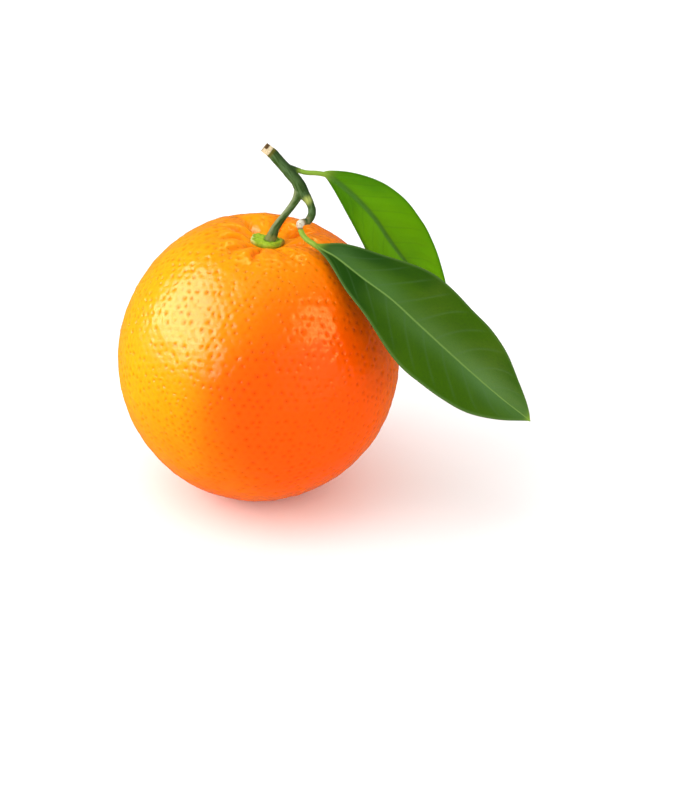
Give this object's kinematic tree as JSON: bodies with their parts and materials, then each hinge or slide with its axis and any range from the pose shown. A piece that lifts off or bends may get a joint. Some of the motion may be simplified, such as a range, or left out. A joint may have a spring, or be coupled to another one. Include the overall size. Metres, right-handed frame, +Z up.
{
  "type": "whole orange with leafy twig",
  "caption": "Whole orange as picked, with its green calyx, a short forked twig and hanging leaves, resting on a small flat spot.",
  "frame": {"origin": "middle of the small flat spot that the fruit rests on", "axes": "+Z up from the surface it rests on, +X the way the twig leans and the leaves hang, +Y away from the viewer who has the leaves to the right"},
  "size_m": [0.1156, 0.08, 0.1043],
  "materials": {
    "peel": "waxy dimpled peel",
    "calyx": "matt green, slightly woody",
    "bark": "smooth green bark",
    "leaf_light": "smooth leaf, lit through",
    "leaf_dark": "glossy dark leaf"
  },
  "bodies": {
    "root": {"fruit": "peel", "calyx": "calyx", "twig": "bark", "leaf_back": "leaf_light", "leaf_front": "leaf_dark"}
  },
  "joints": []
}
